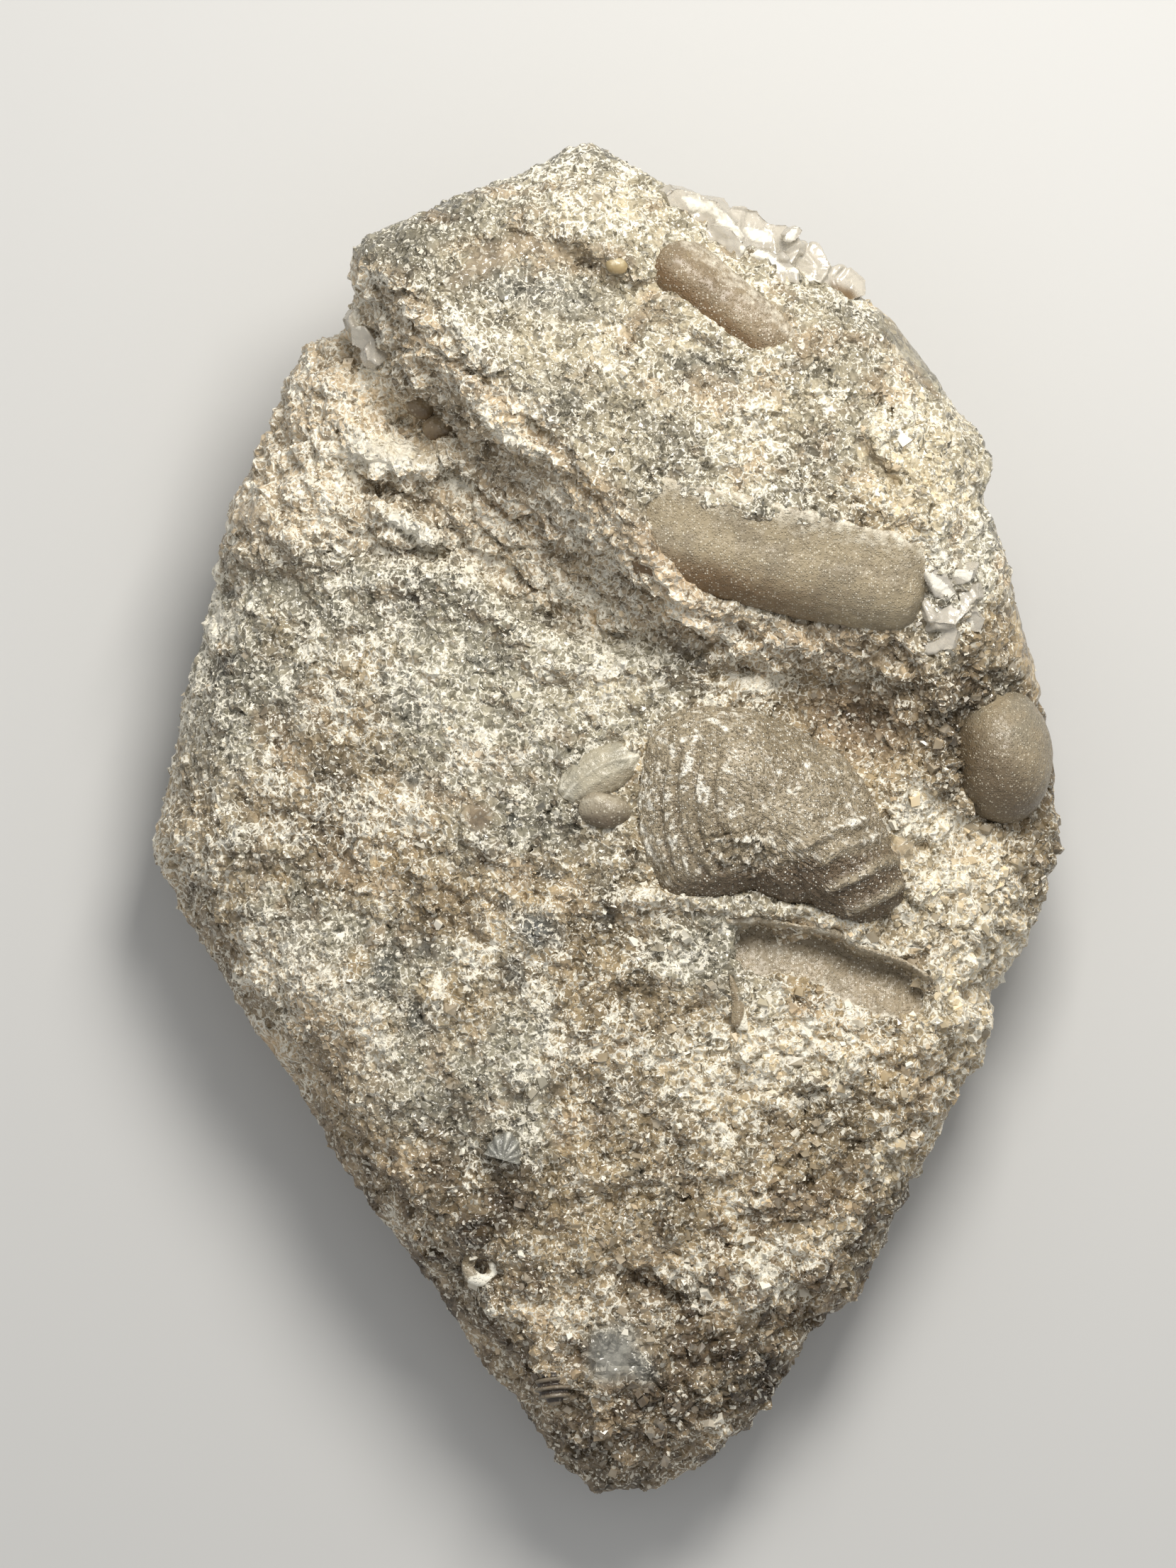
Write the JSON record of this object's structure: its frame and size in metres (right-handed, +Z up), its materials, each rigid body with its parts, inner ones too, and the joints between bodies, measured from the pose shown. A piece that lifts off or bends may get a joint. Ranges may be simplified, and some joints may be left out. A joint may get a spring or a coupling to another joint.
{
  "type": "trilobite fossil",
  "caption": "Loose chip of crystalline shell limestone lying flat, with a trilobite's ribbed tail shield, smooth casts, small shells and calcite crystals set in its upper face.",
  "frame": {"origin": "middle of the chip's bounding box, on the surface that it rests on", "axes": "+Z up out of the fossil face, +Y along the length towards the thick upper block, +X towards the right edge with the dome cast"},
  "size_m": [0.0548, 0.0816, 0.0259],
  "materials": {
    "limestone": "sugary broken limestone, cream to grey-brown, with glinting calcite grains",
    "trilobite": "fine-grained grey-tan fossil shield, ribbed, faint sheen",
    "smooth_cast": "smooth tan cast with a satin surface and fine sparkle",
    "dark_cast": "smooth brown-grey cast with fine sparkle",
    "shell": "smooth tan to grey shell with a pale edge",
    "grey_shell": "bluish grey ribbed shell",
    "dark_fragment": "dark brown ribbed shell fragment",
    "brown_bead": "glossy brown translucent grain",
    "amber_bead": "glossy yellow translucent grain",
    "calcite": "clear to milky calcite, seen through"
  },
  "bodies": {
    "root": {"matrix_stone": "limestone", "trilobite_tail": "trilobite", "long_smooth_cast": "smooth_cast", "upper_smooth_cast": "smooth_cast", "edge_dome_cast": "dark_cast", "arched_shell": "shell", "small_oval_shell": "shell", "oval_bead": "brown_bead", "amber_bead": "amber_bead", "brown_bead_upper": "brown_bead", "brown_bead_lower": "brown_bead", "shell_sliver": "shell", "ribbed_fragment": "dark_fragment", "fan_shell": "grey_shell", "ring_fossil": "dark_cast", "calcite_crust": "calcite", "end_crystals": "calcite", "notch_crystals": "calcite"}
  },
  "joints": []
}
